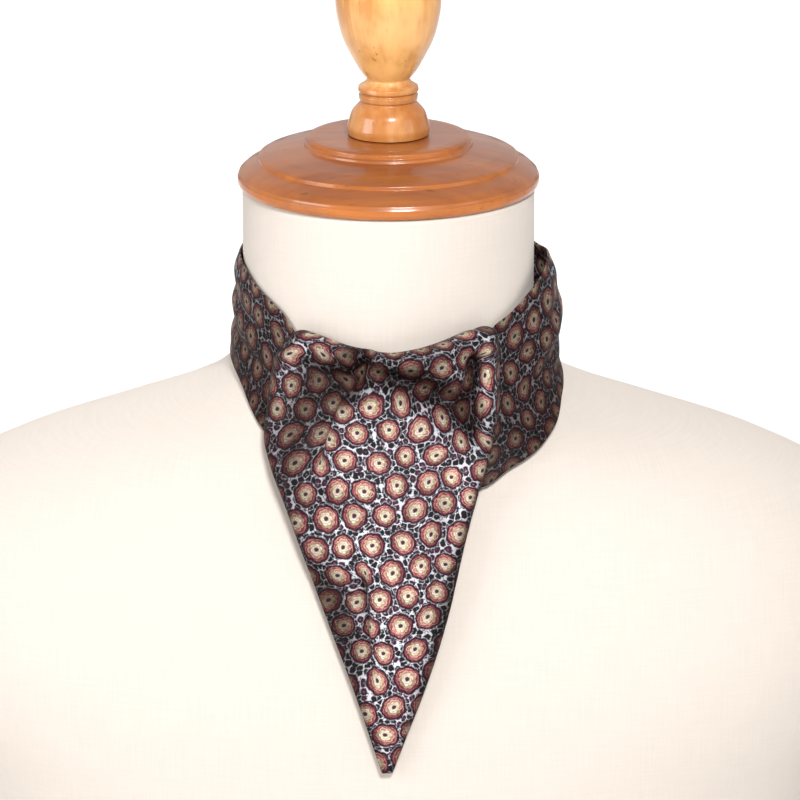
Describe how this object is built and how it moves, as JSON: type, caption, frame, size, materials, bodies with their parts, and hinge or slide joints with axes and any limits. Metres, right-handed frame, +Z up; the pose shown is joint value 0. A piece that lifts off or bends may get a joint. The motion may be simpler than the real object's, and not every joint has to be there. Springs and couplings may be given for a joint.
{
  "type": "silk cravat on a dress form",
  "caption": "Patterned silk day cravat, pleated round the neck and tied with its front blade folded over the top and falling to a point, worn by a linen bust form with a turned wooden cap.",
  "frame": {"origin": "middle of the bust form's flat underside, on the axis of its neck", "axes": "+Z up along the neck's axis, +X to the right of someone who faces the front, and the front faces -Y"},
  "size_m": [0.4298, 0.2257, 0.456],
  "materials": {
    "linen": "plain woven linen, matt",
    "cap_wood": "orange-brown stain under gloss varnish",
    "finial_wood": "honey coloured turned wood under gloss varnish",
    "silk": "printed silk twill with a soft sheen"
  },
  "bodies": {
    "root": {"form_bust": "linen", "cap": "cap_wood", "finial": "finial_wood", "neck_band": "silk", "left_stretch": "silk", "right_stretch": "silk", "under_blade": "silk", "front_blade": "silk"}
  },
  "joints": []
}
